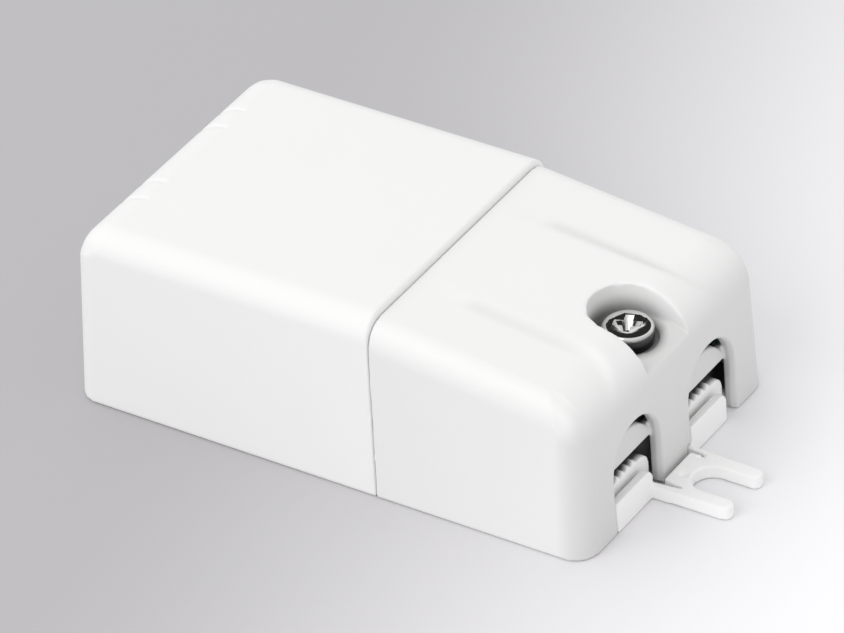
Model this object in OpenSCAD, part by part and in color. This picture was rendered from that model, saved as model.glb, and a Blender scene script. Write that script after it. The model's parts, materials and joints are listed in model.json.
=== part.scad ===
// LED dimmer module in a white plastic case: housing, screwed terminal cover with two
// cable entries, base tray with a fixing fork, and the circuit board with its components.
// The X axis runs from the closed end to the cable end, and Z points up from the flat bottom.

/* [Case] */
// Length from the closed end to the cable end, without the fixing fork
body_l = 65.8; // [64:0.2:76]
// Width over the side walls at the bottom
body_w = 38.6; // [37:0.2:48]
// Height of the housing
body_h = 22.2; // [22:0.2:28]
// Length of the housing from the closed end to the seam, at the bottom
housing_l = 39.3; // [38.6:0.1:40.2]
// Wall of the housing and of the terminal cover
wall = 1.5; // [1.2:0.1:1.8]
// Draft of the side walls in degrees
draft = 2.8; // [2:0.1:3.2]
// Draft of the closed end in degrees
end_draft = 2; // [1:0.1:2.6]
// Draft of the cable end in degrees
cable_draft = 1.2; // [0.6:0.1:1.6]
// Lean of the seam towards the closed end in degrees
seam_lean = 1.2; // [0.4:0.1:1.6]
// Radius of the edges round the side walls, from the top down the upright corners
edge_r = 3; // [2.8:0.1:3.4]
// Radius where the top turns into the closed end
end_edge_r = 4.7; // [4:0.1:6]
// Gap between the housing and the terminal cover
seam_gap = 0.2; // [0.15:0.05:0.4]
// Clearance between plastic parts that fit into each other
fit = 0.15; // [0.1:0.05:0.3]

/* [Grip marks at the closed end] */
// Distance between the two grooves of a pair
mark_spacing = 3.7; // [2.5:0.1:5]
// Width of one groove
mark_w = 0.6; // [0.4:0.1:1]
// Depth of one groove
mark_depth = 0.25; // [0.1:0.05:0.4]

/* [Terminal cover] */
// Step from the housing top down to the cover top at the seam
cover_step = 0.8; // [0.4:0.1:1.4]
// Fall of the outer panels of the cover in degrees
panel_slope = 6.4; // [6:0.1:7]
// Fall of the raised middle band in degrees
nose_slope = 4.6; // [4:0.1:5.4]
// Width of the raised middle band at its top
nose_w = 15.6; // [13:0.2:18]
// Sideways run of the band's flanks for each millimetre of depth
flank = 0.9; // [0.6:0.05:1.2]
// Radius where the outer panels turn into the cable end
panel_end_r = 6; // [5:0.2:7]
// Radius where the middle band turns into the cable end
nose_end_r = 4; // [3:0.2:5]
// Length of the housing collar inside the cover
collar_l = 1.8; // [1.2:0.1:2.4]
// Wall of the housing collar
collar_wall = 1; // [0.8:0.1:1.3]

/* [Cover screw] */
// Nominal diameter of the cover screw
screw_d = 3; // [2.5:0.5:3.5]
// Length of the screw under its head
screw_l = 11; // [9:1:12]
// Diameter of the screw head
screw_head_d = 5.8; // [5:0.1:6.4]
// Height of the screw head
screw_head_h = 2.1; // [1.6:0.1:2.4]
// Distance of the screw axis from the cable end
screw_inset = 5.6; // [5.2:0.1:6.2]
// Width of the pocket that leads a screwdriver to the screw
pocket_w = 8.6; // [8.2:0.1:9.4]
// Depth of the pocket floor under the seam edge of the cover
pocket_depth = 5.5; // [4.8:0.1:6]
// Fall of the pocket floor between the screw and the cable end
ramp_drop = 0.8; // [0.2:0.1:1]
// Depth of the counterbore under the pocket floor
counterbore_depth = 0.4; // [0.2:0.1:0.6]
// Plastic between the counterbore and the base column
screw_land = 1.8; // [1.4:0.1:2.4]
// Clearance of the screw in its holes, on the diameter
screw_play = 0.2; // [0.1:0.05:0.4]
// Wall round the screw in the base column
column_wall = 2; // [1.6:0.1:2]

/* [Cable entries] */
// Distance between the centres of the two entries
entry_pitch = 15.6; // [15:0.1:17]
// Width of an entry
entry_w = 9.4; // [8.6:0.1:9.8]
// Height of the arch of an entry over the bottom
entry_h = 11.5; // [10.5:0.1:12.2]
// Width of the rebate round the mouth of an entry
rebate_w = 0.35; // [0.2:0.05:0.5]
// Depth of the rebate round the mouth of an entry
rebate_depth = 0.4; // [0.2:0.05:0.6]
// Thickness of the clamping tongue in an entry
tongue_t = 1.2; // [0.9:0.1:1.5]
// Height of the tongue's straight edge over the bottom
tongue_z = 6.75; // [6.5:0.05:7.4]
// Opening between the arch of the entry and the arch of the tongue
tongue_gap = 1.3; // [1:0.1:1.6]
// Height of the end wall's foot between the entries over the fork plate
foot_gap = 0.35; // [0.2:0.05:0.6]

/* [Base] */
// Thickness of the base plate
base_t = 1.6; // [1.4:0.1:2]
// Sideways offset of the fork and the lips from the middle
insert_shift = -0.8; // [-0.8:0.1:0]
// Length of a lip, from the fork outwards
lip_w = 7.4; // [6:0.1:7.4]
// Height of the lip across an entry
lip_h = 3.8; // [3:0.1:4]
// Thickness of the lip
lip_t = 1; // [0.8:0.1:1.2]
// Radius of the lip's free top corner
lip_r = 1.3; // [0.6:0.1:1.6]
// Height of the toothed sill to the foot of its teeth
sill_h = 5.2; // [4.6:0.1:5.4]
// Thickness of the toothed sill
sill_t = 2; // [1.4:0.1:2.2]
// Radius of the sill's top corners
sill_r = 1.7; // [1:0.1:2]
// Distance between two teeth
tooth_pitch = 1.1; // [0.9:0.05:1.3]
// Height of a tooth
tooth_h = 0.6; // [0.4:0.05:0.8]
// Height of the board over the base plate
post_h = 2.8; // [2.4:0.1:3.4]
// Diameter of the board posts
post_d = 5; // [4.4:0.2:5.4]
// Height of the snap tabs over the base plate
tab_h = 9.4; // [8:0.2:10]
// Width of a snap tab
tab_w = 5; // [4:0.2:6]
// Thickness of a snap tab
tab_t = 1.1; // [0.9:0.1:1.2]
// Reach of the hook on a snap tab
hook = 0.5; // [0.3:0.05:0.6]

/* [Fixing fork] */
// Length of the fork past the cable end
fork_l = 9.4; // [9:0.1:12]
// Thickness of the fork
fork_t = 1.3; // [1.1:0.05:1.6]
// Width of the fork at the cable end
fork_root_w = 8.5; // [8.1:0.1:9]
// Width of the screw slot in the fork
slot_w = 4.4; // [4:0.1:4.6]
// Distance from the cable end to the root of the slot
slot_inset = 2.8; // [2.6:0.1:3.6]
// Radius of the rounded prong tips
prong_r = 0.65; // [0.5:0.05:0.75]
// Width of the pad between the two slits
pad_w = 5; // [4.6:0.1:5.2]
// Length of the slits beside the pad, past the cable end
slit_l = 3; // [2:0.1:3.2]
// Width of a slit at its wide end
slit_w = 0.7; // [0.5:0.05:0.8]

/* [Circuit board] */
// Thickness of the circuit board
board_t = 1.6; // [1.4:0.1:1.8]
// Gap between the board and the inner side walls
board_side_gap = 2.1; // [2.1:0.1:2.4]
// Gap between the board and the closed end wall
board_end_gap = 1.3; // [0.8:0.1:1.6]
// Gap between the board and the cover column of the base
board_column_gap = 0.6; // [0.4:0.1:1]
// Gap between the board and the toothed sills of the base
board_sill_gap = 0.7; // [0.4:0.1:1]
// Diameter of the two board screws
board_screw_d = 2; // [1.8:0.1:2.2]
// Distance of the board screws from the board's edge at the cable end
board_screw_inset = 2.1; // [2.05:0.05:2.4]

/* [Terminals] */
// Width of a two-pole terminal body
terminal_w = 10.2; // [10:0.1:10.6]
// Depth of a terminal body
terminal_l = 9; // [8:0.1:9.4]
// Height of a terminal body
terminal_h = 10; // [9:0.1:11]
// Distance between the two poles
pole_pitch = 5; // [4.8:0.1:5.1]
// Gap between the housing collar and the terminals
terminal_gap = 0.9; // [0.6:0.1:1.6]
// Side of the wire opening of a pole
wire_hole = 3.4; // [3:0.1:3.6]
// Diameter of a terminal screw head
terminal_screw_d = 3; // [2.6:0.1:3.2]

/* [Power parts] */
// Thickness of the heat spreader
spreader_t = 1.5; // [1:0.1:2]
// Width of the heat spreader
spreader_w = 24; // [22:1:26]
// Height of the heat spreader
spreader_h = 12; // [11:0.5:13]
// Width of a transistor body
transistor_w = 10; // [9:0.1:10.4]
// Thickness of a transistor body
transistor_t = 4.4; // [4:0.1:4.8]
// Height of a transistor body
transistor_h = 8.8; // [8:0.1:9.4]
// Distance between the two transistors
transistor_pitch = 12.6; // [11:0.1:13]
// Free length of the transistor leads over the board
lead_h = 2.6; // [2:0.1:3]
// Diameter of a component lead
lead_d = 0.8; // [0.6:0.1:1]

/* [Other components] */
// Diameter of the buffer capacitor
buffer_d = 10; // [8:0.5:10]
// Height of the buffer capacitor
buffer_h = 12.5; // [10:0.5:13]
// Outer diameter of the choke core
core_d = 11; // [10:0.5:12]
// Inner diameter of the choke core
core_bore = 5.5; // [5:0.5:6.5]
// Height of the choke core
core_h = 5; // [4:0.5:6]
// Thickness of the winding round the choke core
winding_t = 1.2; // [0.8:0.1:1.3]
// Diameter of the varistor disc
varistor_d = 8; // [6:0.5:8.5]
// Diameter of the fuse
fuse_d = 5.6; // [5:0.1:6]
// Height of the fuse
fuse_h = 7.6; // [6:0.2:9]
// Diameter of the supply inductor
inductor_d = 5.8; // [5:0.2:6]
// Height of the supply inductor
inductor_h = 6.4; // [5:0.2:8]
// Thickness of the film capacitor
film_t = 6.4; // [5:0.2:6.6]
// Length of the film capacitor
film_l = 13; // [12:0.5:13]
// Height of the film capacitor
film_h = 12; // [9:0.5:12.5]

/* [Hidden] */
$fn = 64;
eps = 0.01;
play = 0.01;
far = 90;
total_l = body_l + fork_l;
cover_x = housing_l + seam_gap;
cover_h = body_h - cover_step;
inner_w = body_w - 2 * wall;
base_w = inner_w - 2 * fit - 2 * base_t * tan(draft);
base_end_x = body_l - wall - 2 * fit;
entry_r = entry_w / 2;
entry_z = entry_h - entry_r;
screw_x = body_l - screw_inset;
pocket_z = cover_h - pocket_depth;
seat_z = pocket_z - counterbore_depth;
column_z = seat_z - screw_land;
column_d = screw_d + screw_play + 2 * column_wall;
board_z = base_t + post_h;
board_top = board_z + board_t;
board_w = inner_w - 2 * board_side_gap;
board_x0 = wall + board_end_gap;
board_x1 = body_l - wall - sill_t - board_sill_gap;
terminal_x = housing_l + collar_l + terminal_gap;
terminal_y = entry_pitch / 2;
clamp_inset = 1.3;
pole_x = terminal_x + clamp_inset + wire_hole / 2 + 0.1;
tab_inset = 9.5;
tab_xs = [tab_inset, housing_l - tab_inset];
tab_y = inner_w / 2 - (base_t + tab_h) * tan(draft) - fit;
hook_h = 1.6;
hook_z = base_t + tab_h - hook_h - 0.6;
pin_d = 2;
pin_x = 11.6;
pin_y = board_w / 2 - 1.6;
post_x = housing_l - 4;
board_screw_x = board_x1 - board_screw_inset;
board_screw_y = board_w / 2 - 2.4;
board_screw_head_h = 1.3;
spreader_x = board_x0 + 0.2;
transistor_x = spreader_x + spreader_t;
transistor_z = board_top + lead_h;
transistor_screw_d = 2.5;
transistor_screw_head_d = 4.6;
transistor_screw_head_h = 1.6;
transistor_screw_z = transistor_z + transistor_h - 3.2;
lead_pitch = 2.54;
// The other components stand in two rows between the transistors and the partition,
// with equal gaps along each row
parts_x0 = transistor_x + transistor_t + transistor_screw_head_h;
parts_x1 = housing_l - wall - body_h * tan(seam_lean);
choke_d = core_d + 2 * winding_t;
varistor_t = 3.4;
coupler_w = 4.4;
coupler_l = 6.4;
coupler_h = 3.5;
bridge_l = 8;
bridge_w = 4.6;
bridge_h = 2.6;
choke_gap = (parts_x1 - parts_x0 - choke_d - varistor_t - fuse_d) / 4;
buffer_gap = (parts_x1 - parts_x0 - buffer_d - inductor_d - film_t) / 4;
choke_x = parts_x0 + choke_gap + choke_d / 2;
choke_y = choke_d / 2 + 0.5;
varistor_x = choke_x + choke_d / 2 + choke_gap + varistor_t / 2;
varistor_y = 9;
fuse_x = parts_x1 - choke_gap - fuse_d / 2;
fuse_y = 9.4;
buffer_x = parts_x0 + buffer_gap + buffer_d / 2;
buffer_y = -9.4;
inductor_x = buffer_x + buffer_d / 2 + buffer_gap + inductor_d / 2;
inductor_y = -3.8;
inductor_rim = 1.4;
coupler_x = inductor_x;
coupler_y = -11.6;
film_x = parts_x1 - buffer_gap - film_t / 2;
film_y = -7.6;
bridge_x = (choke_x + choke_d / 2 + parts_x1) / 2;
bridge_y = 2.2;
chip_l = 8.6;
chip_w = 3.8;
chip_h = 1.5;
chip_pitch = 1.27;
leg_w = 0.4;
leg_l = 1;
leg_h = 0.6;
surface_l = 2;
surface_w = 1.2;
surface_h = 0.7;
surface_y = 5;
surface_pitch = 3.4;
surface_x = pin_x + post_d;

// Moves the module so that its bounding box is centred over the origin
module place() {
    translate([-total_l / 2, 0, 0]) children();
}

// Extrudes a profile drawn in Y and Z along X
module along_x(x0, x1) {
    translate([x0, 0, 0]) rotate([90, 0, 90]) linear_extrude(x1 - x0) children();
}

// Extrudes a profile drawn in X and Z across the whole width
module along_y(w = far) {
    translate([0, w / 2, 0]) rotate([90, 0, 0]) linear_extrude(w) children();
}

// A box centred on Y
module block(x0, x1, w, z0, z1, y = 0) {
    translate([x0, y - w / 2, z0]) cube([x1 - x0, w, z1 - z0]);
}

// An upright cylinder
module post(x, y, d, z0, z1) {
    translate([x, y, z0]) cylinder(d = d, h = z1 - z0);
}

// What a rounding takes off a corner, between two outward directions in degrees
module off_corner(x, y, r, a0, a1) {
    mid = (a0 + a1) / 2;
    translate([x + play * cos(mid), y + play * sin(mid)]) difference() {
        polygon([[0, 0], 3 * r * [cos(a0), sin(a0)], 5 * r * [cos(mid), sin(mid)],
                 3 * r * [cos(a1), sin(a1)]]);
        circle(r = r);
    }
}

// Cross section with drafted sides and rounded top edges
module drafted_section(w, h, r) {
    top = w / 2 - h * tan(draft);
    difference() {
        polygon([[-w / 2, 0], [w / 2, 0], [top, h], [-top, h]]);
        for (s = [0, 1]) mirror([s, 0])
            off_corner(top + r * tan(draft) - r / cos(draft), h - r, r, draft, 90);
    }
}

// Plan with two rounded corners at the end x = 0
module rounded_plan(l, w, r) {
    difference() {
        translate([0, -w / 2]) square([l, w]);
        for (s = [0, 1]) mirror([0, s]) off_corner(r, w / 2 - r, r, 90, 180);
    }
}

// What the edge of a side wall takes off while it rolls round an end, between two directions
module rolled_edge(x, z, y, end_r, r, a0, a1) {
    mid = (a0 + a1) / 2;
    intersection() {
        translate([x, y - z * tan(draft) - r / cos(draft), z]) rotate([draft - 90, 0, 0])
            rotate_extrude() off_corner(end_r - r + 3 * play, 0, r, 0, 90);
        translate([x, 0, z]) along_y() polygon([[0, 0], far * [cos(a0), sin(a0)],
            2 * far * [cos(mid), sin(mid)], far * [cos(a1), sin(a1)]]);
    }
}

// What an upright corner takes off, between the side wall at y and the leaning end at x
module upright_edge(x, y, r, lean) {
    translate([x + r / cos(lean), y - r / cos(draft), 0]) rotate([draft, lean, 0])
        translate([0, 0, -1]) linear_extrude(far) off_corner(0, 0, r, 90, 180);
}

// Everything past the leaning seam that stands at x on the bottom
module past_seam(x) {
    along_y() polygon([[x + tan(seam_lean), -1], [far, -1], [far, far],
                       [x - far * tan(seam_lean), far]]);
}

// Distance of the closed end's rounding from the closed end
function closed_end_x(h, r) = (h - r) * tan(end_draft) + r / cos(end_draft);

// Solid form of the housing, drawn smaller by a wall for its hollow
module housing_form(inset) {
    h = body_h - inset;
    y = body_w / 2 - inset;
    r = edge_r - inset;
    end_r = end_edge_r - inset;
    c_x = closed_end_x(h, end_r);
    difference() {
        along_x(-1, housing_l) drafted_section(2 * y, h, r);
        translate([inset, 0, 0]) along_y() {
            polygon([[-far, -1], [-tan(end_draft), -1], [far * tan(end_draft), far], [-far, far]]);
            off_corner(c_x, h - end_r, end_r, 90, 180 - end_draft);
        }
        for (s = [0, 1]) mirror([0, s, 0]) {
            rolled_edge(inset + c_x, h - end_r, y, end_r, r, 90, 180 - end_draft);
            upright_edge(inset, y, r, end_draft);
        }
        past_seam(housing_l - inset);
    }
}

// Centre of the rounding between a falling top and the cable end, in X and Z
function cable_end(x1, top, slope, r) =
    let (end = x1 - r / cos(cable_draft),
         z = (top - r / cos(slope) - tan(slope) * end) / (1 - tan(slope) * tan(cable_draft)))
    [end - z * tan(cable_draft), z];

// Side view of the cover: a falling top, an end radius and a drafted end wall
module cover_side(x0, x1, top, slope, r) {
    c = cable_end(x1, top, slope, r);
    p_z = (top - x1 * tan(slope)) / (1 - tan(slope) * tan(cable_draft));
    difference() {
        polygon([[x0, 0], [x1, 0], [x1 - p_z * tan(cable_draft), p_z], [x0, top - x0 * tan(slope)]]);
        off_corner(c[0], c[1], r, cable_draft, 90 - slope);
    }
}

// Everything below one rounded long edge, tangent to the falling panel and the drafted wall
module under_edge(x0, y0, z0, r) {
    turn = atan(tan(draft) * sin(panel_slope));
    lean = asin(sin(draft) * cos(panel_slope));
    translate([x0, y0, z0 + play]) rotate([0, panel_slope, 0]) rotate([0, 0, turn])
        along_x(-far, far) difference() {
            polygon([[0, 0], [far * tan(lean), -far], [-far, -far], [-far, 0]]);
            off_corner(-r * (1 - sin(lean)) / cos(lean), -r, r, lean, 90);
        }
}

// Outer panels of the cover from the given X on, drawn smaller by a wall for its hollow
module panel_form(inset, x0) {
    h = cover_h - inset / cos(panel_slope);
    top = h + cover_x * tan(panel_slope);
    r = max(edge_r - inset, 0.3);
    end_r = panel_end_r - inset;
    c = cable_end(body_l - inset, top, panel_slope, end_r);
    difference() {
        intersection() {
            along_y() cover_side(x0, body_l - inset, top, panel_slope, end_r);
            under_edge(cover_x, body_w / 2 - inset - h * tan(draft), h, r);
            mirror([0, 1, 0]) under_edge(cover_x, body_w / 2 - inset - h * tan(draft), h, r);
        }
        for (s = [0, 1]) mirror([0, s, 0]) {
            rolled_edge(c[0], c[1], body_w / 2 - inset, end_r, r, cable_draft, 90 - panel_slope);
            translate([body_l - inset, 0, 0]) mirror([1, 0, 0])
                upright_edge(0, body_w / 2 - inset, r, cable_draft);
        }
    }
}

// Raised middle band with leaning flanks
module nose_form() {
    y = nose_w / 2;
    depth = 6.4;
    intersection() {
        along_y() cover_side(cover_x - 2, body_l, cover_h + play + cover_x * tan(nose_slope),
                             nose_slope, nose_end_r);
        translate([cover_x, 0, cover_h]) rotate([0, nose_slope, 0]) along_x(-3, far)
            polygon([[-y - depth * flank, -depth], [y + depth * flank, -depth],
                     [y - flank, 1], [flank - y, 1]]);
    }
}

// Whole outer form of the terminal cover
module cover_form() {
    intersection() {
        union() {
            panel_form(0, cover_x - 2);
            nose_form();
        }
        past_seam(cover_x);
    }
}

// Arched outline of a cable entry, open at the bottom
module entry_outline(r) {
    translate([0, entry_z]) circle(r = r);
    translate([-r, -1]) square([2 * r, entry_z + 1]);
}

// Arched outline of the tongue that bridges an entry
module tongue_outline() {
    intersection() {
        translate([0, entry_z - tongue_gap]) circle(r = entry_r);
        translate([-entry_r, tongue_z]) square([entry_w, entry_r]);
    }
}

// Clamping tongue with the two webs that tie it to the end wall
module tongue(y) {
    x1 = body_l - wall + fit;
    translate([0, y, 0]) along_x(x1 - tongue_t, x1) tongue_outline();
    for (s = [-1, 1])
        block(x1 - tongue_t, x1 - fit + eps, 1.6, tongue_z, tongue_z + 1.4, y + s * (entry_r + 0.1));
}

// Screwdriver pocket: round behind the screw, open towards the cable end
module pocket_cut() {
    post(screw_x, 0, pocket_w, pocket_z, far);
    block(screw_x, body_l + 1, pocket_w, pocket_z, far);
    along_y(pocket_w) polygon([[screw_x + screw_head_d / 2, pocket_z + eps],
                               [body_l + 1, pocket_z + eps],
                               [body_l + 1, pocket_z - ramp_drop],
                               [body_l, pocket_z - ramp_drop]]);
    post(screw_x, 0, screw_head_d + 0.9, seat_z, far);
    post(screw_x, 0, screw_d + screw_play, 0, far);
}

module housing() {
    color([0.93, 0.93, 0.92]) place() difference() {
        union() {
            difference() {
                housing_form(0);
                translate([0, 0, -eps]) housing_form(wall);
            }
            housing_collar();
        }
        // Way through the partition for the base plate and the board
        block(wall + eps, cover_x + far, inner_w, -1, base_t + fit);
        block(housing_l - wall - 1, cover_x + far, board_w + 2 * fit, -1, board_top + 2 * fit);
        // Recesses that the snap hooks of the base spring into
        for (x = tab_xs, s = [-1, 1])
            block(x - tab_w / 2 - fit, x + tab_w / 2 + fit, hook + fit, hook_z - fit,
                  hook_z + hook_h + fit, s * (tab_y + (hook + fit) / 2));
        for (y = [-entry_pitch / 2, entry_pitch / 2], s = [-1, 1]) grip_mark(y + s * mark_spacing / 2);
    }
}

// Collar of the housing that reaches into the terminal cover
module housing_collar() {
    difference() {
        intersection() {
            panel_form(wall + fit, housing_l - 1);
            block(housing_l - 1, housing_l + collar_l, far, base_t + fit, far);
        }
        intersection() {
            panel_form(wall + fit + collar_wall, housing_l - 2);
            block(housing_l, far, far, -1, far);
        }
    }
}

// One shallow groove over the rounded top edge of the closed end
module grip_mark(y) {
    r = end_edge_r;
    translate([closed_end_x(body_h, r), y + mark_w / 2, body_h - r]) rotate([90, 0, 0]) difference() {
        intersection() {
            cylinder(r = r + 1, h = mark_w);
            translate([-far, 0, 0]) cube([far, far, mark_w]);
        }
        translate([0, 0, -1]) cylinder(r = r - mark_depth, h = mark_w + 2);
    }
}

module terminal_cover() {
    color([0.94, 0.94, 0.93]) place() difference() {
        union() {
            difference() {
                cover_form();
                panel_form(wall, cover_x - 1);
                for (s = [-1, 1]) translate([body_l, s * entry_pitch / 2, 0]) {
                    along_x(-wall - 1, 1) entry_outline(entry_r);
                    rotate([0, -cable_draft, 0]) along_x(-rebate_depth, 1)
                        entry_outline(entry_r + rebate_w);
                }
                block(body_l - wall - 1, body_l + 1, entry_pitch - entry_w + 1, -1, fork_t + foot_gap);
            }
            screw_housing();
            for (s = [-1, 1]) tongue(s * entry_pitch / 2);
        }
        pocket_cut();
    }
}

// Block round the screwdriver pocket that stands on the column of the base
module screw_housing() {
    skin = 1.3;
    intersection() {
        cover_form();
        union() {
            post(screw_x, 0, pocket_w + 2 * skin, pocket_z - skin, far);
            block(screw_x, body_l - eps, pocket_w + 2 * skin, pocket_z - ramp_drop - skin, far);
            post(screw_x, 0, column_d, column_z, far);
        }
    }
}

// Outline of the fork with its slot, the pad and the slits beside it
module fork_plan() {
    tip_x = total_l - prong_r;
    tip_y = slot_w / 2 + prong_r;
    slot_x = body_l + slot_inset + slot_w / 2;
    root_x = body_l - wall - 2 * fit - lip_t;
    fillet = 1.2;
    difference() {
        union() {
            polygon([[root_x, -fork_root_w / 2], [body_l, -fork_root_w / 2], [tip_x, -tip_y - prong_r],
                     [tip_x, tip_y + prong_r], [body_l, fork_root_w / 2], [root_x, fork_root_w / 2]]);
            for (s = [-1, 1]) translate([tip_x, s * tip_y]) circle(r = prong_r);
            for (s = [0, 1]) mirror([0, s]) translate([body_l - eps, fork_root_w / 2 - 0.2])
                difference() {
                    square([fillet + eps, fillet + 0.2]);
                    translate([fillet + eps, fillet + 0.2]) circle(r = fillet);
                }
        }
        translate([slot_x, 0]) circle(d = slot_w);
        translate([slot_x, -slot_w / 2]) square([far, slot_w]);
        // Gap behind the pad, where the foot of the end wall stands over the fork
        translate([root_x - 1, -pad_w / 2 - slit_w])
            square([body_l - root_x + 1 + slit_w, pad_w + 2 * slit_w]);
        for (s = [-1, 1])
            polygon([[body_l, s * pad_w / 2], [body_l, s * (pad_w / 2 + slit_w)],
                     [body_l + slit_l, s * (pad_w / 2 + slit_w)]]);
    }
}

// Lip and toothed sill that carry a cable, seen from the cable end
module lip_outline(y0, y1) {
    translate([y0, 0]) square([y1 - y0, lip_h - lip_r]);
    translate([y0, 0]) square([y1 - y0 - lip_r, lip_h]);
    translate([y1 - lip_r, lip_h - lip_r]) circle(r = lip_r);
}
module sill_outline(y0, y1) {
    teeth = floor((y1 - y0 - 2 * sill_r) / tooth_pitch);
    first = (y0 + y1 - teeth * tooth_pitch) / 2;
    translate([y0, 0]) square([y1 - y0, sill_h - sill_r]);
    translate([y0 + sill_r, 0]) square([y1 - y0 - 2 * sill_r, sill_h]);
    for (y = [y0 + sill_r, y1 - sill_r]) translate([y, sill_h - sill_r]) circle(r = sill_r);
    for (i = [0:teeth - 1]) translate([first + i * tooth_pitch, sill_h - eps])
        polygon([[0, 0], [tooth_pitch * 0.85, 0], [tooth_pitch * 0.25, tooth_h]]);
}

// Base plate under one cable entry with its lip and its toothed sill
module entry_floor(side) {
    y = side * entry_pitch / 2;
    lip_y = insert_shift + side * (fork_root_w + lip_w) / 2;
    sill_x = body_l - wall;
    block(base_end_x - 1, body_l, lip_w, 0, fork_t, lip_y);
    along_x(body_l - lip_t, body_l) lip_outline(lip_y - lip_w / 2, lip_y + lip_w / 2);
    along_x(sill_x - sill_t, sill_x) sill_outline(y - entry_r + fit, y + entry_r - 3 * fit);
}

// Snap tab whose hook springs into the housing wall
module snap_tab(x) {
    block(x - tab_w / 2, x + tab_w / 2, tab_t, base_t - eps, base_t + tab_h, tab_y - tab_t / 2);
    translate([x - tab_w / 2, tab_y - eps, hook_z]) rotate([90, 0, 90]) linear_extrude(tab_w)
        polygon([[0, 0], [hook, 0], [0, hook_h]]);
}

module base() {
    color([0.92, 0.92, 0.91]) place() difference() {
        union() {
            difference() {
                linear_extrude(base_t) intersection() {
                    translate([wall + fit, 0]) rounded_plan(body_l, base_w, edge_r - wall);
                    translate([base_end_x, 0]) mirror([1, 0])
                        rounded_plan(body_l, base_w, edge_r - wall);
                }
                block(body_l - wall - lip_t - 3 * fit, far * 2, pad_w + 2 * slit_w, -1, far,
                      insert_shift);
            }
            translate([0, insert_shift, 0]) linear_extrude(fork_t) fork_plan();
            for (s = [-1, 1]) entry_floor(s);
            for (x = tab_xs, s = [0, 1]) mirror([0, s, 0]) snap_tab(x);
            post(screw_x, 0, column_d, 0, column_z);
            for (s = [-1, 1]) {
                post(pin_x, s * pin_y, post_d - 1, 0, board_z);
                post(pin_x, s * pin_y, pin_d, 0, board_top + 0.6);
                post(post_x, s * pin_y, post_d - 1, 0, board_z);
                post(board_screw_x, s * board_screw_y, post_d, 0, board_z);
            }
        }
        post(screw_x, 0, screw_d + screw_play, seat_z - screw_l - 0.5, far);
        for (s = [-1, 1])
            post(board_screw_x, s * board_screw_y, board_screw_d + screw_play, 0.6, far);
    }
}

// Pan head screw with a cross recess, standing on the given seat
module pan_screw(d, l, head_d, head_h) {
    recess = head_d * 0.56;
    blade = head_d * 0.13;
    difference() {
        union() {
            translate([0, 0, -l]) cylinder(d = d, h = l + eps);
            cylinder(d = head_d, h = head_h * 0.62);
            intersection() {
                translate([0, 0, head_h - head_d * 0.9]) sphere(r = head_d * 0.9);
                cylinder(d = head_d, h = head_h);
            }
        }
        for (a = [0, 90]) rotate([0, 0, a])
            translate([-recess / 2, -blade / 2, head_h * 0.35]) cube([recess, blade, head_h]);
    }
}

module cover_screw() {
    color([0.75, 0.75, 0.76]) place() translate([screw_x, 0, seat_z]) rotate([0, 0, 20])
        pan_screw(screw_d, screw_l, screw_head_d, screw_head_h);
}

module circuit_board() {
    color([0.16, 0.42, 0.24]) place() difference() {
        block(board_x0, board_x1, board_w, board_z, board_top);
        // Notch round the column of the cover screw
        post(screw_x, 0, column_d + 2 * board_column_gap, 0, far);
        block(screw_x, far, column_d + 2 * board_column_gap, 0, far);
        for (s = [-1, 1]) {
            post(pin_x, s * pin_y, pin_d + 2 * fit, 0, far);
            post(board_screw_x, s * board_screw_y, board_screw_d + screw_play, 0, far);
        }
        transistor_leads(lead_d + 2 * fit);
        varistor_leads(lead_d + 2 * fit);
    }
}

module board_screws() {
    color([0.72, 0.72, 0.73]) place() for (s = [-1, 1])
        translate([board_screw_x, s * board_screw_y, board_top])
            pan_screw(board_screw_d, board_z - 0.9 + board_t, board_screw_d * 1.8, board_screw_head_h);
}

// Body of a two-pole screw terminal with wire openings and screw wells
module terminal_body(y) {
    clamp_h = terminal_h * 0.62;
    place() difference() {
        union() {
            block(terminal_x, terminal_x + terminal_l, terminal_w, board_top,
                  board_top + terminal_h * 0.7, y);
            block(terminal_x, terminal_x + terminal_l * 0.72, terminal_w, board_top,
                  board_top + terminal_h, y);
        }
        for (s = [-1, 1]) translate([0, y + s * pole_pitch / 2, 0]) {
            block(terminal_x + 1.2, terminal_x + terminal_l + 1, wire_hole + 0.4,
                  board_top + 0.8, board_top + clamp_h);
            post(pole_x, 0, terminal_screw_d + 0.3, board_top, far);
        }
    }
}

module input_terminal() {
    color([0.25, 0.27, 0.3]) terminal_body(-terminal_y);
}

module output_terminal() {
    color([0.25, 0.27, 0.3]) terminal_body(terminal_y);
}

// Plated cage in each pole, open towards the cable end and threaded from above
module terminal_clamps() {
    size = wire_hole + 0.2;
    color([0.8, 0.78, 0.7]) place() for (t = [-1, 1], s = [-1, 1])
        translate([0, t * terminal_y + s * pole_pitch / 2, 0]) difference() {
            block(terminal_x + clamp_inset, terminal_x + clamp_inset + size, size, board_top + 0.8,
                  board_top + terminal_h * 0.6);
            block(terminal_x, terminal_x + terminal_l, size - 1.2, board_top + 1.4,
                  board_top + terminal_h * 0.42);
            post(pole_x, 0, terminal_screw_d * 0.7, board_top + 1.4, far);
        }
}

module terminal_screws() {
    head_z = board_top + terminal_h * 0.6;
    color([0.78, 0.77, 0.72]) place() for (t = [-1, 1], s = [-1, 1])
        translate([pole_x, t * terminal_y + s * pole_pitch / 2, 0])
            difference() {
                union() {
                    post(0, 0, terminal_screw_d, head_z, head_z + 1.8);
                    post(0, 0, terminal_screw_d * 0.66, board_top + terminal_h * 0.35, head_z + eps);
                }
                block(-2, 2, 0.6, head_z + 1, far);
            }
}

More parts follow.
